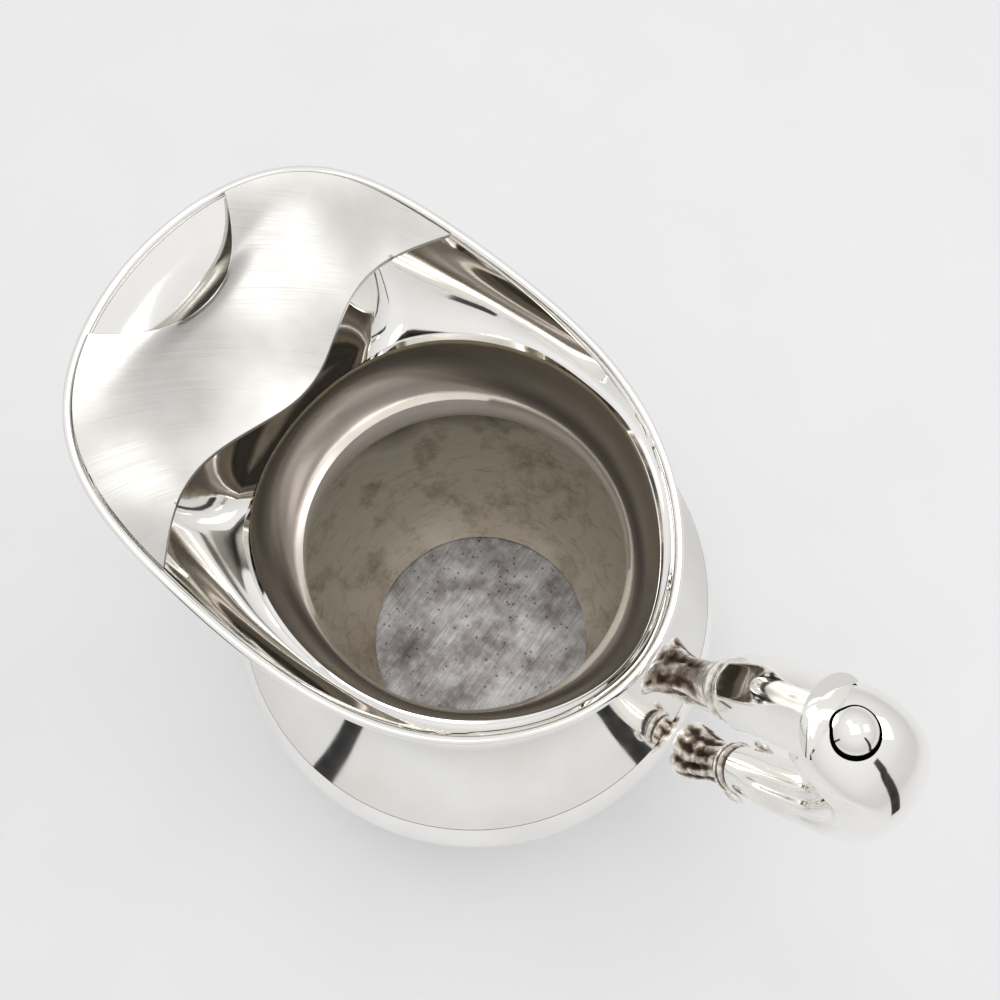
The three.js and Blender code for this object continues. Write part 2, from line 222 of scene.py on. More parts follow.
# %% Satin silver
def satin_silver():
    material, tree, bench = new_material("silver_plate_brushed")
    centre = add(tree, "VectorMath", {0: bench, 1: (-40.0, -150.0, 0.0)}, operation="SUBTRACT")
    away = add(tree, "VectorMath", {0: centre.outputs[0]}, operation="LENGTH")
    parts = add(tree, "SeparateXYZ", {0: centre.outputs[0]})
    round_it = add(tree, "Math", {0: parts.outputs["Y"], 1: parts.outputs["X"]},
                   operation="ARCTAN2")
    arcs = add(tree, "CombineXYZ", {"X": away.outputs["Value"], "Y": round_it.outputs[0]})
    strokes = add(tree, "TexNoise", {"Vector": arcs.outputs[0], "Scale": 1 / 0.3, "Detail": 3.0})
    cloud = add(tree, "TexNoise", {"Vector": bench, "Scale": 1 / 14, "Detail": 3.0})
    tone = add(tree, "ValToRGB", {0: cloud.outputs["Fac"]},
               [(0.3, linear("#d2d0cc")), (0.75, linear("#c1beb9"))])
    gloss = add(tree, "ValToRGB", {0: strokes.outputs["Fac"]},
                [(0.3, grey(0.26)), (0.7, grey(0.40))])
    bump = add(tree, "Bump", {"Strength": 0.05, "Distance": 0.15 * MM,
                              "Height": strokes.outputs["Fac"]})
    finish_off(tree, add(tree, "BsdfPrincipled", {
        "Base Color": tone.outputs["Color"], "Metallic": 1.0,
        "Roughness": gloss.outputs["Color"], "Normal": bump.outputs["Normal"]}))
    return material


SATIN = satin_silver()

# %% [markdown]
# ## Tarnished collar and painted highlights
# Inside the neck the polish has not been renewed. Silver sulphide builds up in rings where the
# water stood, from taupe to grey, over metal that still shines. The ramp also paints two
# highlights: a bright band at the throat and a pale straw-gold line along the bend. The rings run
# round the sheet, softened by noise, so each point keeps how far up the sheet it is, and the
# colour is a ramp on that.

# %% Tarnished silver with painted highlights
def height_of(tree, bench, low, high, wander, grain):
    """0 at one height and 1 at another, pushed about a little by noise."""
    parts = add(tree, "SeparateXYZ", {0: bench})
    drift = add(tree, "TexNoise", {"Vector": bench, "Scale": 1 / grain, "Detail": 2.0})
    shift = add(tree, "Math", {0: drift.outputs["Fac"], 1: wander, 2: parts.outputs["Z"]},
                operation="MULTIPLY_ADD")
    level = add(tree, "MapRange", {"Value": shift.outputs[0], "From Min": low, "From Max": high})
    return level.outputs[0]


# Tarnish rings, with a painted highlight at the throat and a painted gold line at the bend.
def tarnished_silver():
    material, tree, bench = new_material("silver_plate_tarnish_and_highlights")
    rise = add(tree, "Attribute", {}, attribute_name="up_sheet")
    drift = add(tree, "TexNoise", {"Vector": bench, "Scale": 1 / 9, "Detail": 2.0})
    shift = add(tree, "Math", {0: drift.outputs["Fac"], 1: 0.03, 2: rise.outputs["Fac"]},
                operation="MULTIPLY_ADD")
    level = shift.outputs[0]
    # Painted highlights: the bright stops round 0.485 make a band at the throat, and the stop at
    # 1.0 makes a pale gold line at the bend. The other stops are tarnish.
    tone = add(tree, "ValToRGB", {0: level}, [
        (0.0, linear("#a8a198")), (1.0, linear("#fbeccb")), (0.44, linear("#cfc7bc")),
        (0.485, linear("#fff8ee")), (0.515, linear("#e9dfd3")), (0.56, linear("#948b83")),
        (0.66, linear("#8e857c")), (0.76, linear("#b3aa9f")), (0.88, linear("#8d867d")),
        (0.965, linear("#8a8175"))])
    gloss = add(tree, "ValToRGB", {0: level}, [(0.3, grey(0.32)), (0.8, grey(0.22))])
    marks = add(tree, "TexNoise", {"Vector": bench, "Scale": 1 / 1.5, "Detail": 4.0})
    bump = add(tree, "Bump", {"Strength": 0.05, "Distance": 0.2 * MM,
                              "Height": marks.outputs["Fac"]})
    finish_off(tree, add(tree, "BsdfPrincipled", {
        "Base Color": tone.outputs["Color"], "Metallic": 0.75,
        "Roughness": gloss.outputs["Color"], "Normal": bump.outputs["Normal"]}))
    return material


TARNISH_AND_HIGHLIGHTS = tarnished_silver()

# %% [markdown]
# ## Stained inner wall, with painted shade
# Below the throat the wall has years of hard water on it: a brown and gold bloom in the middle,
# rubbed by a cloth going round. The colour is a ramp on height, darker near the gutter at the
# floor and grey and dark towards the neck; that darkening is painted shade, where the gutter and
# the overhanging shoulder keep light out. Strokes that run round the axis come from noise read in
# angle and height rather than across the surface, and blots about 15 mm across break the bloom up.

# %% Stained wall with painted shade
def round_the_axis(tree, bench, along):
    """Radius, arc length and height as coordinates, so that a pattern can follow the turning."""
    centred = add(tree, "VectorMath", {0: bench, 1: (AXIS_X / MM, 0.0, 0.0)}, operation="SUBTRACT")
    parts = add(tree, "SeparateXYZ", {0: centred.outputs[0]})
    angle = add(tree, "Math", {0: parts.outputs["Y"], 1: parts.outputs["X"]}, operation="ARCTAN2")
    arc = add(tree, "Math", {0: angle.outputs[0], 1: along}, operation="MULTIPLY")
    flat = add(tree, "CombineXYZ", {"X": parts.outputs["X"], "Y": parts.outputs["Y"]})
    radius = add(tree, "VectorMath", {0: flat.outputs[0]}, operation="LENGTH")
    made = add(tree, "CombineXYZ", {"X": radius.outputs["Value"], "Y": arc.outputs[0],
                                    "Z": parts.outputs["Z"]})
    return made.outputs[0]


def stained_and_shaded_wall():
    material, tree, bench = new_material("silver_plate_stained_and_shaded")
    # Painted shade: the height ramp darkens the wall at its foot by the floor gutter and at its
    # top under the shoulder, around the stained bloom in the middle.
    level = height_of(tree, bench, 5, 112, 26.0, 34.0)
    tone = add(tree, "ValToRGB", {0: level}, [
        (0.0, linear("#8f8378")), (1.0, linear("#7d7975")), (0.10, linear("#c5b49d")),
        (0.26, linear("#fff6e0")), (0.52, linear("#fff8e8")), (0.66, linear("#6f6a67"))])
    turning = round_the_axis(tree, bench, 6.0)
    strokes = add(tree, "TexNoise", {"Vector": turning, "Scale": 1 / 0.9, "Detail": 6.0,
                                     "Roughness": 0.7, "Distortion": 0.6})
    streak = add(tree, "ValToRGB", {0: strokes.outputs["Fac"]},
                 [(0.28, linear("#6a5d4e")), (0.46, linear("#ffffff"))])
    blots = add(tree, "TexNoise", {"Vector": bench, "Scale": 1 / 15, "Detail": 7.0,
                                   "Roughness": 0.7})
    blotch = add(tree, "ValToRGB", {0: blots.outputs["Fac"]},
                 [(0.32, linear("#8f8170")), (0.50, linear("#ffffff"))])
    stroked = add(tree, "Mix", {0: 0.45, 6: tone.outputs["Color"], 7: streak.outputs["Color"]},
                  data_type="RGBA", blend_type="MULTIPLY")
    mixed = add(tree, "Mix", {0: 0.6, 6: stroked.outputs[2], 7: blotch.outputs["Color"]},
                data_type="RGBA", blend_type="MULTIPLY")
    gloss = add(tree, "ValToRGB", {0: strokes.outputs["Fac"]},
                [(0.3, grey(0.5)), (0.7, grey(0.3))])
    bump = add(tree, "Bump", {"Strength": 0.25, "Distance": 0.3 * MM,
                              "Height": strokes.outputs["Fac"]})
    finish_off(tree, add(tree, "BsdfPrincipled", {
        "Base Color": mixed.outputs[2], "Metallic": 0.1,
        "Roughness": gloss.outputs["Color"], "Normal": bump.outputs["Normal"]}))
    return material


STAINED_AND_SHADED = stained_and_shaded_wall()

# %% [markdown]
# ## Worn floor
# Ice has dropped on the floor for decades. It is scratched back to dull grey base metal, pitted,
# and bloomed with purplish brown where water dried. Pits come from a cell pattern about 3 mm
# across, and the scratches are thin bands of stretched noise.

# %% Worn floor
def worn_floor():
    material, tree, bench = new_material("base_metal_worn")
    cloud = add(tree, "TexNoise", {"Vector": bench, "Scale": 1 / 13, "Detail": 6.0,
                                   "Roughness": 0.65})
    tone = add(tree, "ValToRGB", {0: cloud.outputs["Fac"]}, [
        (0.30, linear("#8d8184")), (0.66, linear("#fbfaf9")), (0.42, linear("#b5adad")),
        (0.52, linear("#dbd8d6"))])
    cells = add(tree, "TexVoronoi", {"Vector": bench, "Scale": 1 / 3.2})
    pits = add(tree, "ValToRGB", {0: cells.outputs["Distance"]},
               [(0.08, linear("#3a3434")), (0.20, linear("#ffffff"))])
    slant = add(tree, "Mapping", {"Vector": bench, "Rotation": (0.0, 0.0, 0.9),
                                  "Scale": (1 / 0.5, 1 / 14, 1.0)})
    scratches = add(tree, "TexNoise", {"Vector": slant.outputs[0], "Scale": 1.0, "Detail": 3.0})
    lines = add(tree, "ValToRGB", {0: scratches.outputs["Fac"]},
                [(0.40, linear("#8b8785")), (0.60, linear("#ffffff"))])
    pitted = add(tree, "Mix", {0: 0.8, 6: tone.outputs["Color"], 7: pits.outputs["Color"]},
                 data_type="RGBA", blend_type="MULTIPLY")
    scored = add(tree, "Mix", {0: 0.35, 6: pitted.outputs[2], 7: lines.outputs["Color"]},
                 data_type="RGBA", blend_type="MULTIPLY")
    bump = add(tree, "Bump", {"Strength": 0.4, "Distance": 0.3 * MM,
                              "Height": scratches.outputs["Fac"]})
    finish_off(tree, add(tree, "BsdfPrincipled", {
        "Base Color": scored.outputs[2], "Metallic": 0.45,
        "Roughness": 0.42, "Normal": bump.outputs["Normal"]}))
    return material


FLOOR = worn_floor()

# %% [markdown]
# ## Oxidised casting
# The leaf sockets are cast, plated and then darkened, and the polishing mop only reached their
# ridges. Each cast piece carries its own depth of carving at every point, and the colour follows
# it: bright silver on the ridges, and brown, then very dark brown, in the hollows.

# %% Oxidised casting
def oxidised_casting():
    material, tree, bench = new_material("silver_plate_oxidised")
    carved = add(tree, "Attribute", {}, attribute_name="hollow")
    cloud = add(tree, "TexNoise", {"Vector": bench, "Scale": 1 / 2.2, "Detail": 5.0})
    half = add(tree, "Math", {0: carved.outputs["Fac"], 1: 0.6}, operation="MULTIPLY")
    depth = add(tree, "Math", {0: cloud.outputs["Fac"], 1: 0.75, 2: half.outputs[0]},
                operation="MULTIPLY_ADD")
    tone = add(tree, "ValToRGB", {0: depth.outputs[0]}, [
        (0.46, linear("#f6f3ee")), (0.96, linear("#33271f")), (0.57, linear("#cfc6bb")),
        (0.70, linear("#8f8070")), (0.82, linear("#5b4839"))])
    gloss = add(tree, "ValToRGB", {0: depth.outputs[0]}, [(0.3, grey(0.10)), (0.8, grey(0.45))])
    grit = add(tree, "TexNoise", {"Vector": bench, "Scale": 1 / 0.8, "Detail": 3.0})
    bump = add(tree, "Bump", {"Strength": 0.22, "Distance": 0.4 * MM,
                              "Height": grit.outputs["Fac"]})
    finish_off(tree, add(tree, "BsdfPrincipled", {
        "Base Color": tone.outputs["Color"], "Metallic": 0.7,
        "Roughness": gloss.outputs["Color"], "Normal": bump.outputs["Normal"]}))
    return material


OXIDISED = oxidised_casting()
print("finishes:", sorted(material.name for material in bpy.data.materials))

# %% [markdown]
# ## The bowl
# The bulb is one sheet raised over stakes. It could be a sphere pushed about, but its two halves
# are different curves: a full belly below the girth and a rounder shoulder above. So it is
# turned from a formula for its radius, with a second surface 1.4 mm inside.

# %% Turned pieces
WALL = 1.4
GAP = 0.3
FLOOR_RADIUS = 46
FLOOR_TOP = 6.4
GIRTH_RADIUS = 81.66
GIRTH_HEIGHT = 76
BULB_BOTTOM = 4.2
BULB_TOP = 145.4
SHOULDER_HEIGHT = 100.5
AROUND = 192


def bulb_radius(height):
    upper = height > GIRTH_HEIGHT
    reach = BULB_TOP - GIRTH_HEIGHT if upper else GIRTH_HEIGHT - BULB_BOTTOM
    power = 2 if upper else 3
    return GIRTH_RADIUS * (1 - (abs(height - GIRTH_HEIGHT) / reach) ** power) ** (1 / power)


def turn(profile):
    """Points of a closed profile of (radius, height) turned about the centre line."""
    ring = []
    for i in range(AROUND):
        angle = TURN * i / AROUND
        ring.append([(r * math.cos(angle), r * math.sin(angle), h) for r, h in profile])
    return np.array(ring)


def rounded(profile, radius=0.25):
    """The profile with each sharp corner taken off by a small flat and its two neighbours."""
    made = []
    count = len(profile)
    for i, (r, h) in enumerate(profile):
        before, after = profile[i - 1], profile[(i + 1) % count]
        a = Vector((before[0] - r, before[1] - h))
        b = Vector((after[0] - r, after[1] - h))
        if a.angle(b) < math.radians(140):
            cut = min(radius, a.length / 3, b.length / 3)
            corner = Vector((r, h))
            start, end = corner + a.normalized() * cut, corner + b.normalized() * cut
            middle = (start + end) / 4 + corner / 2
            made += [tuple(start), tuple(middle), tuple(end)]
        else:
            made.append((r, h))
    return made


# %% Bowl
def bowl_profile(steps=56):
    seat, seat_end = FLOOR_RADIUS + GAP, FLOOR_RADIUS + 5
    ledge = FLOOR_TOP - 2.5 * GAP
    lowest = BULB_BOTTOM + 4
    outside = [(seat, BULB_BOTTOM + GAP), (seat_end, BULB_BOTTOM + 2 * GAP)]
    inside = [(seat, ledge), (seat_end - 1, ledge)]
    for i in range(steps + 1):
        height = lowest + (SHOULDER_HEIGHT - lowest) * (i / steps) ** 1.25
        lean = math.atan2(bulb_radius(height + 0.5) - bulb_radius(height - 0.5), 1)
        outside.append((bulb_radius(height), height))
        inside.append((bulb_radius(height) - WALL * math.cos(lean),
                       height + WALL * math.sin(lean)))
    return outside, inside


outside, inside = bowl_profile()
loop = outside + inside[::-1]
points = turn(loop)
bowl = new_piece("body_bowl", points.reshape(-1, 3), grid_faces(AROUND, len(loop)),
                 [SILVER, STAINED_AND_SHADED])
for face in bowl.data.polygons:
    columns = {i % len(loop) for i in face.vertices}
    face.material_index = int(min(columns) >= len(outside))
print("bowl:", len(bowl.data.polygons), "faces")

# %% [markdown]
# ## Floor disc and foot ring
# The floor is a flat disc set into the bowl, a little hollow and battered, with a rolled edge
# that still shines. The foot is a turned ring that keeps the disc off the table. Only its outer
# edge is ever seen, so it is a plain moulding.

# %% Floor disc and foot ring
def floor_disc(rings=40):
    """The disc as rings from the middle out, over the edge, and back to the middle below."""
    under = FLOOR_TOP - WALL
    top = [(FLOOR_RADIUS - 0.3) * (i / rings) for i in range(rings + 1)]
    profile = [(r, FLOOR_TOP - 0.55 + 0.5 * (r / FLOOR_RADIUS) ** 6) for r in top]
    profile += [(FLOOR_RADIUS, FLOOR_TOP - 0.5), (FLOOR_RADIUS, under + 0.2),
                (FLOOR_RADIUS - 0.2, under), (20, under), (0, under)]
    points = turn(profile[1:-1])
    for ring in points:
        for point in ring[:rings]:
            spot = Vector((point[0] / 9, point[1] / 9, 0.0))
            fade = 1 - (math.hypot(point[0], point[1]) / FLOOR_RADIUS) ** 4
            point[2] += 0.35 * fade * noise.noise(spot)
    columns = len(profile) - 2
    faces = grid_faces(AROUND, columns, True, False)
    flat = list(points.reshape(-1, 3))
    ends = ((0, profile[0][1]), (columns - 1, profile[-1][1]))
    for column, height in ends:
        flat.append(np.array((0.0, 0.0, height)))
        centre = len(flat) - 1
        for i in range(AROUND):
            here, after = i * columns + column, (i + 1) % AROUND * columns + column
            faces.append((centre, here, after) if column == 0 else (after, here, centre))
    return np.array(flat), faces


points, faces = floor_disc()
new_piece("base_disc", points, faces, [FLOOR])

FOOT_RADIUS = 52
inner = FLOOR_RADIUS - 1
foot = rounded([(inner, 0), (FOOT_RADIUS, 0), (FOOT_RADIUS, 1.2), (FOOT_RADIUS - 1.6, 2.6),
                (FOOT_RADIUS - 2, BULB_BOTTOM), (inner + 2, BULB_BOTTOM),
                (inner, BULB_BOTTOM - 1.6)])
points = turn(foot)
new_piece("foot_ring", points.reshape(-1, 3), grid_faces(AROUND, len(foot)),
          [SILVER])
print("foot:", len(foot), "points in its profile")

# %% [markdown]
# ## Neck and spout lip
# The neck narrows to a throat, opens to a bend, and there the lip flares out to the rim. Throat,
# bend and rim are three closed curves, and a Bezier curve joins them at every angle. A spline
# cage with a subdivision surface would also do it, but formulas hold the exact rim of the frame.

# %% Curves of the upper body
THROAT_HEIGHT = 143
THROAT_RADIUS = 46
THROAT_STRETCH = 1.03
THROAT_SHIFT = -2.3
RIM_WIRE_RADIUS = 1.3
SOLDER_GAP = 0.45
SHOULDER_RUN = 16
SHOULDER_CLIMB = 13.5
NECK_LENGTH = 26
ROLL_HEIGHT = 0.45
ROLL_REACH = 1.1


def unit(vector):
    return vector / np.linalg.norm(vector)


def throat_at(angle):
    radius = THROAT_RADIUS + WALL
    along = radius * THROAT_STRETCH * math.cos(angle) + THROAT_SHIFT
    return np.array((along, radius * math.sin(angle), THROAT_HEIGHT))


def bend_at(angle):
    """The bend is low at the spout and high at the sides."""
    c = math.cos(angle)
    across = 53.5 * math.sin(angle) * (1 - 0.12 * c ** 3)
    height = THROAT_HEIGHT + 20.6 + 1.75 * c - 5.9 * math.cos(2 * angle)
    return np.array((-4 + 59.7 * c, across, height))


def rim_at(angle):
    """The rim climbs from the handle to the spout and narrows towards the tip."""
    c = math.cos(angle)
    across = 59.9 * math.sin(angle) * (1 + 0.21 * c ** 2 - 0.25 * c ** 3)
    height = THROAT_HEIGHT + 41.8 - 23.4 * c + 1.8 * math.cos(2 * angle)
    return np.array((-19.6 + 77.5 * c, across, height))


def along_rim(angle):
    return unit(rim_at(angle + 0.01) - rim_at(angle - 0.01))


def rim_turn(angle):
    """The rim is met a little earlier than the neck, because its middle is nearer the spout."""
    return angle - 0.19 * math.sin(angle)


def bezier(controls, steps):
    """Points along a Bezier curve with any number of controls."""
    made = []
    for i in range(steps + 1):
        level = [np.asarray(point, float) for point in controls]
        while len(level) > 1:
            level = [a + (b - a) * (i / steps) for a, b in zip(level, level[1:])]
        made.append(level[0])
    return made


def smooth(value, low, high):
    """0 below low and 1 above high, with an even ramp between."""
    part = min(max((value - low) / (high - low), 0), 1)
    return part * part * (3 - 2 * part)


def between(start, end, flat, tall):
    """Goes a fraction of the way from one point to another: flat in plan, tall in height."""
    return start + (end - start) * (flat, flat, tall)


def upper_meridian(angle, steps):
    """Outer points from the shoulder seam to the bend, and on to just under the rim wire."""
    outward = np.array((math.cos(angle), math.sin(angle), 0.0))
    foot = SHOULDER_HEIGHT + GAP
    shoulder = outward * bulb_radius(foot) + (0, 0, foot)
    leaving = shoulder - outward * SHOULDER_RUN + (0, 0, SHOULDER_CLIMB)
    throat, bend, rim = throat_at(angle), bend_at(angle), rim_at(rim_turn(angle))
    below = throat - (0, 0, NECK_LENGTH)
    dish = smooth(-math.cos(angle), -0.2, 0.4)
    flare = smooth(-math.cos(angle), 0.75, 0.95)
    leave = between(bend, rim, 0.33 + 0.22 * dish - 0.45 * flare, 0.33 - 0.23 * dish + 0.3 * flare)
    arrive = between(rim, bend, 0.33 - 0.28 * dish + 0.5 * flare, 0.33 + 0.17 * dish - 0.3 * flare)
    wire = along_rim(rim_turn(angle))
    up = rim - arrive
    up -= wire * np.dot(up, wire)
    edge = rim - unit(up) * (RIM_WIRE_RADIUS + SOLDER_GAP)
    ledge, steep = between(throat, bend, 0.45, 0.08), between(throat, bend, 0.9, 0.5)
    neck = bezier([shoulder, leaving, below, throat], steps[0])
    collar = bezier([throat, ledge, steep, bend], steps[1])
    lip = bezier([bend, leave, arrive, edge], steps[2])
    return neck + collar[1:], lip


def sheet_round(which, steps=(24, 26, 22)):
    """The neck (0) or the lip (1) as a closed shell, its wall grown inward square to the sheet."""
    outer = np.array([upper_meridian(TURN * i / AROUND, steps)[which] for i in range(AROUND)])
    along = np.gradient(outer, axis=1, edge_order=2)
    along /= np.linalg.norm(along, axis=2, keepdims=True)
    across = np.roll(outer, -1, axis=0) - np.roll(outer, 1, axis=0)
    seam = outer[:, 0 if which else -1]
    seam += along[:, 0 if which else -1] * (GAP / 2 if which else -GAP / 2)
    if not which:
        slope = bulb_radius(SHOULDER_HEIGHT + 0.5) - bulb_radius(SHOULDER_HEIGHT - 0.5)
        for i in range(AROUND):
            angle = TURN * i / AROUND
            along[i, 0] = unit(np.array((slope * math.cos(angle), slope * math.sin(angle), 1.0)))
    inward = np.cross(along, across)
    inward /= np.linalg.norm(inward, axis=2, keepdims=True)
    near = np.linalg.norm(outer - outer[:, [0 if which else -1]], axis=2)
    roll = ROLL_HEIGHT * np.exp(-(near / ROLL_REACH) ** 2)
    inner = outer + inward * (WALL + roll[:, :, None])
    return np.concatenate([outer, inner[:, ::-1]], axis=1), outer.shape[1]


# %% Neck collar and spout lip
for name, which, slot, finishes in (
        ("neck_collar", 0, "tarnished_silver", [SILVER, TARNISH_AND_HIGHLIGHTS]),
        ("spout_lip", 1, "polished_silver", [SILVER])):
    points, columns = sheet_round(which)
    piece = new_piece(name, points.reshape(-1, 3), grid_faces(AROUND, 2 * columns), finishes)
    for face in piece.data.polygons:
        numbers = {i % (2 * columns) for i in face.vertices}
        face.material_index = int(min(numbers) >= columns) if len(finishes) > 1 else 0
    rises = [min(j, 2 * columns - 1 - j) / (columns - 1) for j in range(2 * columns)] * AROUND
    layer = piece.data.attributes.new("up_sheet", "FLOAT", "POINT")
    layer.data.foreach_set("value", rises)
    print(name, len(piece.data.polygons), "faces")

# %% [markdown]
# ## Rim wire
# A silver wire is soldered along the rim so that the thin edge can't dent. It is a ring swept
# along the rim curve. A curve object with a bevel would do as well, but a mesh exports as it is.

# %% Rim wire
def rim_wire(sides=20):
    loops = []
    for i in range(AROUND * 2):
        angle = TURN * i / (AROUND * 2)
        along = along_rim(angle)
        sideways = unit(np.array((along[1], -along[0], 0.0)))
        upward = np.cross(sideways, along)
        loops.append([rim_at(angle) + RIM_WIRE_RADIUS * (
            sideways * math.cos(TURN * j / sides) + upward * math.sin(TURN * j / sides))
            for j in range(sides)])
    return np.array(loops)


points = rim_wire()
new_piece("rim_wire", points.reshape(-1, 3), grid_faces(*points.shape[:2]),
          [SILVER])
print("rim wire:", len(points), "sections")

# %% [markdown]
# ## Ice guard
# The guard is a flat sheet pierced to shape, so that ice stays in the pitcher while water runs
# under it. Its back edge has two scallops with a cusp between, its front edge is one crescent,
# and its sides turn up to meet the rim. It is a grid of points with a second grid 1.4 mm below.

# %% Ice guard
GUARD_START = 111
GUARD_SWEEP = 52
GUARD_INSET = 1.8
GUARD_RISE = 0.9
GUARD_FLARE_RISE = 1.4
GUARD_DISH = 2.4
CUSP_SOFTNESS = 0.12
SCALLOP_DEPTH = 9
CRESCENT_DEPTH = 16


def guard_point(side, forward):
    """Upper face: side from -1 to 1 across the spout, forward from the back edge to the front."""
    angle = math.radians(GUARD_START + GUARD_SWEEP * forward)
    along = along_rim(angle)
    inward = unit(np.array((-along[1], along[0], 0.0))) * GUARD_INSET
    edge = rim_at(angle) + inward
    soft = CUSP_SOFTNESS
    fraction = (math.hypot(side, soft) - soft) / (math.hypot(1, soft) - soft)
    scallop = SCALLOP_DEPTH * math.sin(math.pi * fraction ** 1.2) + 3 * (1 - side ** 2)
    shift = forward ** 2 * CRESCENT_DEPTH * (1 - side ** 2) - (1 - forward) ** 2 * scallop
    dish = GUARD_DISH * (1 - side ** 4)
    rise = GUARD_RISE + GUARD_FLARE_RISE * smooth(forward, 0, 0.6)
    return np.array((edge[0] + shift, side * edge[1], edge[2] + rise - dish))


def ice_guard(across=120, along=48):
    upper = np.array([[guard_point(2 * i / across - 1, j / along) for j in range(along + 1)]
                      for i in range(across + 1)])
    lower = upper - (0, 0, WALL)
    columns = along + 1
    points = np.concatenate([upper.reshape(-1, 3), lower.reshape(-1, 3)])
    faces = grid_faces(across + 1, columns, False, False)
    half = (across + 1) * columns
    faces += [tuple(half + i for i in reversed(face)) for face in faces]
    border = [i * columns for i in range(across + 1)]
    border += [across * columns + j for j in range(1, columns)]
    border += [i * columns + along for i in range(across - 1, -1, -1)]
    border += list(range(along - 1, 0, -1))
    for here, after in zip(border, border[1:] + border[:1]):
        faces.append((here, half + here, half + after, after))
    return points, faces


points, faces = ice_guard()
guard = new_piece("ice_guard", points, faces, [SATIN])
edge = guard.modifiers.new("soft_edge", "BEVEL")
edge.width, edge.segments, edge.limit_method = 0.35 * MM, 2, "ANGLE"
edge.angle_limit = math.radians(60)
print("guard:", len(faces), "faces")

# %% [markdown]
# ## Sections of the handle
# The handle is cast in parts. Each part is a bar through a few stations: a place in the middle
# plane of the pitcher, a half width and a half depth. A smooth curve joins the stations, and a
# relief in millimetres raises or sinks the surface, which is also kept as the hollow for the
# oxide to lie in.

# %% Bars with carving
def through(stations, along):
    """A centripetal Catmull-Rom curve through the stations, at 0 to 1 along it."""
    stations = [np.asarray(station, float) for station in stations]
    last = len(stations) - 1
    at = min(int(along * last), last - 1)
    weight = along * last - at
    p1, p2 = stations[at], stations[at + 1]
    p0 = stations[at - 1] if at > 0 else 2 * stations[0] - stations[1]
    p3 = stations[at + 2] if at + 2 <= last else 2 * stations[-1] - stations[-2]
    d0, d1, d2 = (max(np.linalg.norm(b - a), 1e-4) ** 0.5
                  for a, b in ((p0, p1), (p1, p2), (p2, p3)))
    t1 = ((p1 - p0) / d0 - (p2 - p0) / (d0 + d1) + (p2 - p1) / d1) * d1
    t2 = ((p2 - p1) / d1 - (p3 - p1) / (d1 + d2) + (p3 - p2) / d2) * d1
    w2, w3 = weight ** 2, weight ** 3
    return (p1 + t1 * weight + (3 * (p2 - p1) - 2 * t1 - t2) * w2
            + (2 * (p1 - p2) + t1 + t2) * w3)


def bar(stations, steps, sides, relief=lambda along, turn: 0.0):
    """Rings of points along a bar, and how deep each point is carved."""
    rings, hollow = [], []
    centres = [(x, 0, z) for x, z, wide, deep in stations]
    halves = [(wide, deep, 0) for x, z, wide, deep in stations]
    for i in range(steps + 1):
        along = i / steps
        centre = through(centres, along)
        tangent = unit(through(centres, min(along + 0.01, 1))
                       - through(centres, max(along - 0.01, 0)))
        across = np.array((tangent[2], 0.0, -tangent[0]))
        wide, deep, _ = through(halves, along)
        ring, depths = [], []
        for j in range(sides):
            turn_at = TURN * j / sides
            lift = relief(along, turn_at)
            ring.append(centre + across * (deep + lift) * math.cos(turn_at)
                        + np.array((0, 1, 0)) * (wide + lift) * math.sin(turn_at))
            depths.append(-lift)
        rings.append(ring)
        hollow.append(depths)
    return np.array(rings), np.array(hollow)


def bar_piece(name, rings, hollow, finish, sharp_degrees=50):
    """A capped bar. Its caps close on a point in the middle of each end."""
    rows, columns = rings.shape[:2]
    points = list(rings.reshape(-1, 3))
    depths = list(hollow.reshape(-1))
    faces = grid_faces(rows, columns, False, True)
    for row in (0, rows - 1):
        points.append(rings[row].mean(axis=0))
        depths.append(0.0)
        centre = len(points) - 1
        for j in range(columns):
            here, after = row * columns + j, row * columns + (j + 1) % columns
            faces.append((centre, here, after) if row else (centre, after, here))
    piece = new_piece(name, points, faces, [finish], sharp_degrees)
    layer = piece.data.attributes.new("hollow", "FLOAT", "POINT")
    layer.data.foreach_set("value", [float(depth) for depth in depths])
    return piece


# %% [markdown]
# ## Upper socket, tongue and knuckle
# A leaf grips the rim, a tongue runs down beside it, and a turned knuckle hides the joint to
# the arm. The leaf's ribs run along it and flare at the rim. The knuckle has two rings.

# %% Upper fittings
def leaf_ribs(count, depth, flare):
    def relief(along, turn_at):
        rib = 0.5 + 0.5 * math.cos(count * turn_at + 2.2 * math.sin(3 * along))
        curl = math.sin(math.pi * min(1, along * 1.02)) ** 0.5
        spot = Vector((3 * math.cos(turn_at), 3 * math.sin(turn_at), 7 * along))
        wrinkle = 0.5 + 0.5 * noise.noise(spot)
        return -depth * rib ** 2 * (0.4 + wrinkle) * curl - flare * wrinkle * curl
    return relief


def ring_moulding(depth):
    def relief(along, turn_at):
        groove = depth * math.exp(-((along - 0.42) / 0.1) ** 2)
        return -groove - 0.5 * depth * (1 - math.sin(math.pi * along))
    return relief


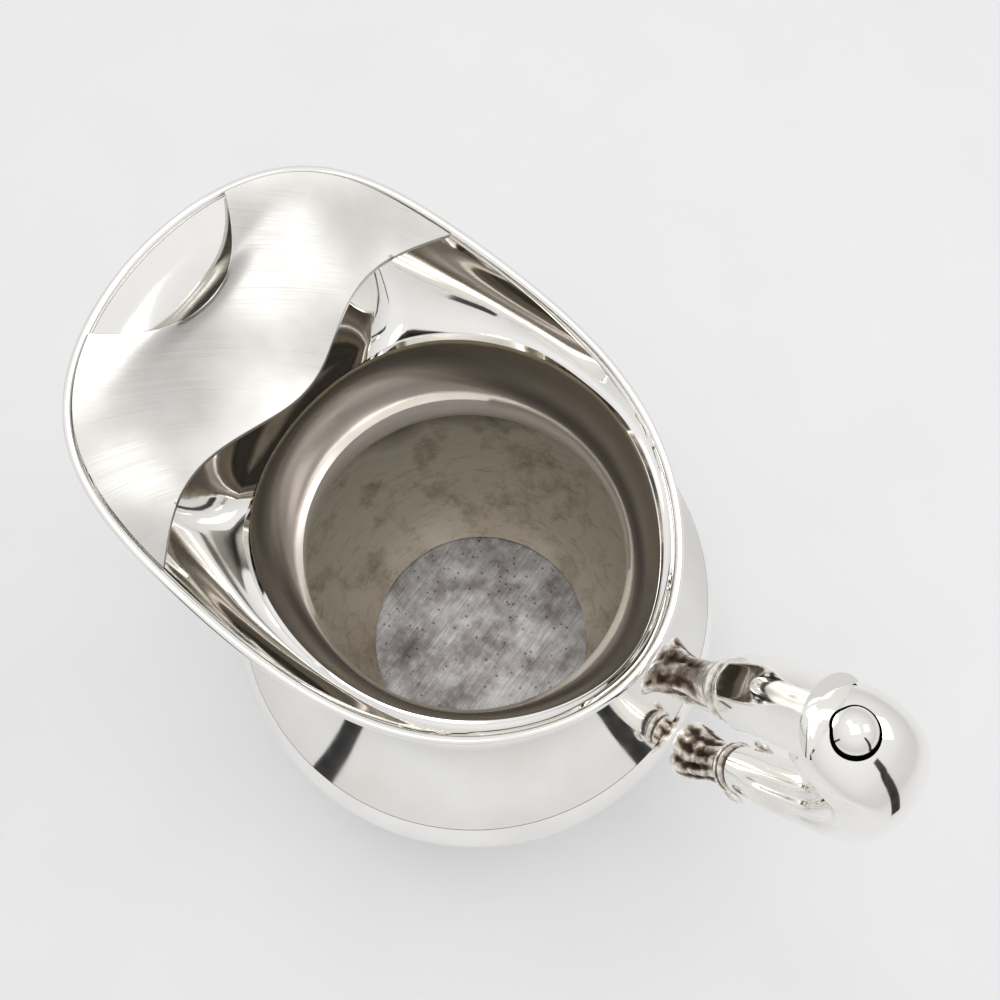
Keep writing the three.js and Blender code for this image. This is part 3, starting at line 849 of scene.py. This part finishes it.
rings, hollow = bar([(61.6, 163.2, 9, 3.2), (65, 167.5, 6.8, 4.6), (70, 174, 5.4, 5.2),
                     (75.6, 183.6, 6, 6)], 90, 96, leaf_ribs(6, 0.7, 0.8))
bar_piece("upper_leaf_socket", rings, hollow, OXIDISED)
rings, hollow = bar([(66.4, 156.9, 4.2, 1.2), (71.8, 162.7, 4.4, 1.4), (77.4, 170.6, 4.2, 1.6),
                     (83.4, 179.6, 2, 1.2)], 60, 48, leaf_ribs(3, 0.3, 0.2))
bar_piece("upper_leaf_tongue", rings, hollow, OXIDISED)
rings, hollow = bar([(76.3, 184.6, 6.6, 6.6), (77.2, 186.6, 7.8, 7.8), (78.1, 188.6, 7.2, 7.2)],
                    40, 96, ring_moulding(1.0))
bar_piece("upper_knuckle", rings, hollow, OXIDISED)

# %% [markdown]
# ## Arm, loop and ball
# The fat upper arm tucks into the cup of the loop, and a ball sits in a hollow on the loop's
# top. The loop comes down to the lower socket as a thinner bar with a dished back, a hollow side
# and two flutes. The arm's end and the ball's seat are carved with Boolean cutters.

# %% Carving with a cutter
def sphere_points(centre, radius, rows=40, columns=64):
    made = []
    for i in range(1, rows):
        tilt = math.pi * i / rows
        made.append([(centre[0] + radius * math.sin(tilt) * math.cos(TURN * j / columns),
                      centre[1] + radius * math.cos(tilt),
                      centre[2] + radius * math.sin(tilt) * math.sin(TURN * j / columns))
                     for j in range(columns)])
    return np.array(made)


def capped(rings):
    """Points and faces of rings with a point at each end."""
    rows, columns = rings.shape[:2]
    ends = 2 * rings[[0, -1]].mean(axis=1) - rings[[1, -2]].mean(axis=1)
    points = np.concatenate([rings.reshape(-1, 3), ends])
    faces = grid_faces(rows, columns, False, True)
    for j in range(columns):
        after = (j + 1) % columns
        last = (rows - 1) * columns
        faces.append((rows * columns, after, j))
        faces.append((rows * columns + 1, last + j, last + after))
    return points, faces


def carve(piece, centre, radius):
    """Cuts a ball out of a piece and keeps the result as its mesh."""
    points, faces = capped(sphere_points(centre, radius))
    mesh = bpy.data.meshes.new("cutter")
    mesh.from_pydata([tuple(p) for p in in_row(points)], [], faces)
    face_out(mesh)
    cutter = bpy.data.objects.new("cutter", mesh)
    bpy.context.scene.collection.objects.link(cutter)
    cut = piece.modifiers.new("cut", "BOOLEAN")
    cut.operation, cut.object, cut.solver = "DIFFERENCE", cutter, "EXACT"
    graph = bpy.context.evaluated_depsgraph_get()
    made = bpy.data.meshes.new_from_object(piece.evaluated_get(graph))
    piece.modifiers.clear()
    piece.data = made
    made.polygons.foreach_set("use_smooth", [True] * len(made.polygons))
    made.set_sharp_from_angle(angle=math.radians(35))
    bpy.data.objects.remove(cutter)


# %% Upper arm, loop and ball
BALL_CENTRE = (98.1, 0, 215.2)
BALL_RADIUS = 5.6
SEAT_CENTRE = (98.2, -0.35, 215.5)
SEAT_RADIUS = 5.95
CUP_CENTRE = (104, 0, 208)
CUP_RADIUS = 15
rings, hollow = bar([(78.6, 189.6, 7.6, 7.6), (80.2, 192.8, 8.7, 8.7), (85, 202.8, 9.2, 9.2),
                     (94.4, 214.4, 10, 10)], 60, 96)
arm = bar_piece("handle_upper_arm", rings, hollow, SILVER)
carve(arm, CUP_CENTRE, CUP_RADIUS)


def loop_carving(along, turn_at):
    """Dished back, hollow near side and two flutes. Half a turn round is the back."""
    back = smooth(along, 0.2, 0.3) * (1 - smooth(along, 0.6, 0.8))
    dish = 1.1 * back * max(0, 1 - ((turn_at - 3.3) / 1.0) ** 2) ** 2
    panel = smooth(along, 0.18, 0.26) * (1 - smooth(along, 0.5, 0.62))
    off_middle = (turn_at - 4.9 - 0.5 * math.sin(9 * along)) / 0.45
    hollow = 1.5 * panel * max(0, 1 - off_middle ** 2) ** 2
    flutes = 0.0
    for middle, width in ((5.15, 0.16), (5.75, 0.18)):
        taper = smooth(along, 0.60, 0.72) * (1 - smooth(along, 0.9, 0.97))
        flutes += 1.1 * taper * math.exp(-((turn_at - middle) / width) ** 2)
    return -dish - hollow - flutes


rings, hollow = bar([(89.3, 209, 1.5, 1.5), (90.3, 209, 7, 7), (93, 208.8, 10.4, 10),
                     (98, 208.4, 12.2, 11), (103.5, 207, 12.9, 11), (108.8, 203.8, 12.8, 9.8),
                     (113.4, 193, 12.4, 9.55), (117.6, 172, 10.8, 9.55), (118.4, 149, 9.05, 9.05),
                     (110.2, 127, 8, 8), (100.4, 110.8, 7, 7)], 260, 120, loop_carving)
loop_piece = bar_piece("handle_loop", rings, hollow, SILVER)
carve(loop_piece, SEAT_CENTRE, SEAT_RADIUS)
points, faces = capped(sphere_points(BALL_CENTRE, BALL_RADIUS))
new_piece("scroll_ball", points, faces, [SILVER])
print("handle:", len(arm.data.polygons) + len(loop_piece.data.polygons), "faces")

# %% [markdown]
# ## Lower fittings
# Below, a knuckle, two small buds and a ribbed leaf socket join the loop to the bowl. The socket's
# foot spreads into lobes where it is soldered to the shoulder.

# %% Lower fittings
rings, hollow = bar([(99.9, 109.7, 7, 7), (99, 107.6, 8, 8), (98.1, 105.6, 7.2, 7.2)],
                    40, 96, ring_moulding(1.0))
bar_piece("lower_knuckle", rings, hollow, OXIDISED)
rings, hollow = bar([(97.6, 104.6, 6.6, 6.4), (94.2, 97.4, 7, 6.4), (90.6, 91.2, 8.4, 7.4),
                     (87.6, 86.4, 9.6, 8.8)], 90, 108, leaf_ribs(9, 1.0, 0.8))
bar_piece("lower_leaf_socket", rings, hollow, OXIDISED)
BUD_HALVES = (3.2, 1.1, 3.0)
BUD_X, BUD_Y, BUD_Z = 101.8, 8.7, 113.2
for name, side in (("handle_bud_near", -1), ("handle_bud_far", 1)):
    points, faces = capped(sphere_points((0, 0, 0), 1.0, 16, 24))
    points = points * BUD_HALVES + (BUD_X, BUD_Y * side, BUD_Z)
    bud = new_piece(name, points, faces, [OXIDISED])
    layer = bud.data.attributes.new("hollow", "FLOAT", "POINT")
    layer.data.foreach_set("value", [0.15] * len(points))
print("lower fittings done")

# %% [markdown]
# ## Table, light and camera
# Polished silver shows the room more than itself, so the set is a pale tent: a white floor, an
# even pale surround and soft boxes above. The camera looks steeply down into the mouth.

# %% Table
def pale_paper():
    material, tree, bench = new_material("paper_pale")
    fibre = add(tree, "TexNoise", {"Vector": bench, "Scale": 1 / 60, "Detail": 2.0})
    tone = add(tree, "ValToRGB", {0: fibre.outputs["Fac"]},
               [(0.3, linear("#e5e5e5")), (0.7, linear("#e3e3e4"))])
    finish_off(tree, add(tree, "BsdfPrincipled", {
        "Base Color": tone.outputs["Color"], "Roughness": 0.9, "Specular IOR Level": 0.1}))
    return material


def plate(name, corners, material):
    """A flat four-cornered card that isn't part of the pitcher."""
    mesh = bpy.data.meshes.new(name)
    mesh.from_pydata([tuple(corner) for corner in corners], [], [(0, 1, 2, 3)])
    mesh.materials.append(material)
    card = bpy.data.objects.new(name, mesh)
    bpy.context.scene.collection.objects.link(card)
    return card


FLOOR_REACH = 3.0
plate("floor", [(FLOOR_REACH * x, FLOOR_REACH * y, 0)
                for x, y in ((-1, -1), (1, -1), (1, 1), (-1, 1))], pale_paper())

# %% Light
world = bpy.data.worlds.new("tent")
bpy.context.scene.world = world
world.use_nodes = True
tree = world.node_tree
tree.nodes.clear()
direction = add(tree, "TexCoord", {})
height = add(tree, "SeparateXYZ", {0: direction.outputs["Generated"]})
cloth = add(tree, "ValToRGB", {0: height.outputs["Z"]},
            [(0.0, linear("#dcdcdc")), (0.75, linear("#f8f8f9")), (0.3, linear("#e8e8e8"))])
background = add(tree, "Background", {"Color": cloth.outputs["Color"], "Strength": 0.96})
output = tree.nodes.new("ShaderNodeOutputWorld")
tree.links.new(background.outputs[0], output.inputs["Surface"])


def soft_box(name, location, target, width, power):
    light = bpy.data.lights.new(name, "AREA")
    light.shape, light.size, light.energy = "SQUARE", width, power
    lamp = bpy.data.objects.new(name, light)
    lamp.location = location
    lamp.rotation_euler = (Vector(target) - Vector(location)).to_track_quat("-Z", "Y").to_euler()
    bpy.context.scene.collection.objects.link(lamp)


AIM = (0, 0, 0.1)
soft_box("box_left", (-0.49, 0.22, 1.07), AIM, 0.32, 0.6)
soft_box("box_right", (0.6, 0.5, 0.9), AIM, 0.4, 1.0)
soft_box("box_top", (0.02, -0.02, 1.1), AIM, 0.6, 2.2)

# %% [markdown]
# ## Dark things in the tent
# A mirror needs something dark to show its form. Two seams of the tent stand at the front corners
# and leave dark bars on the shoulder. They are seen only in reflections, so they stay out of
# every view.

# %% Reflected cards
def card_material(name, colour):
    material, tree, bench = new_material(name)
    weave = add(tree, "TexNoise", {"Vector": bench, "Scale": 1 / 40, "Detail": 3.0})
    tone = add(tree, "ValToRGB", {0: weave.outputs["Fac"]},
               [(0.3, linear(colour)), (0.8, linear("#4a4542"))])
    finish_off(tree, add(tree, "BsdfPrincipled", {
        "Base Color": tone.outputs["Color"], "Roughness": 0.9}))
    return material


def standing_card(name, azimuth, distance, width, low, high, material):
    """An upright card facing the pitcher: degrees from +X, and heights in metres."""
    angle = math.radians(azimuth)
    middle = Vector((AXIS_X + distance * math.cos(angle), distance * math.sin(angle), 0))
    side = Vector((-math.sin(angle), math.cos(angle), 0)) * width / 2
    left, right = middle - side, middle + side
    foot, top = Vector((0, 0, low)), Vector((0, 0, high))
    card = plate(name, [left + foot, right + foot, right + top, left + top], material)
    card.visible_camera = False
    card.visible_shadow = False
    print(name, "at", azimuth, "degrees")


DARK_CLOTH = card_material("cloth_dark", "#1c1d20")
SEAM_DISTANCE = 0.45
standing_card("seam_left", -100, SEAM_DISTANCE, 0.055, 0.0, 0.33, DARK_CLOTH)
standing_card("seam_right", -2.7, SEAM_DISTANCE, 0.05, 0.0, 0.55, DARK_CLOTH)

# %% Camera
RIGHT = Vector((0.8082, 0.5889, -0.0025))
UP = Vector((-0.5578, 0.767, 0.3171))
CAMERA_X, CAMERA_Y, CAMERA_Z = 0.05287, -0.05743, 0.42174
camera_data = bpy.data.cameras.new("camera")
camera_data.lens = 36
camera_data.sensor_width = 36
camera_data.clip_start = 0.01
camera = bpy.data.objects.new("camera", camera_data)
camera.location = (AXIS_X + CAMERA_X, CAMERA_Y, CAMERA_Z)
turned = Matrix((RIGHT, UP, RIGHT.cross(UP))).transposed()
camera.rotation_mode = "QUATERNION"
camera.rotation_quaternion = turned.to_quaternion()
bpy.context.scene.collection.objects.link(camera)
bpy.context.scene.camera = camera
bpy.context.scene.view_settings.view_transform = "Standard"

# %% Update the view layer
bpy.context.view_layer.update()
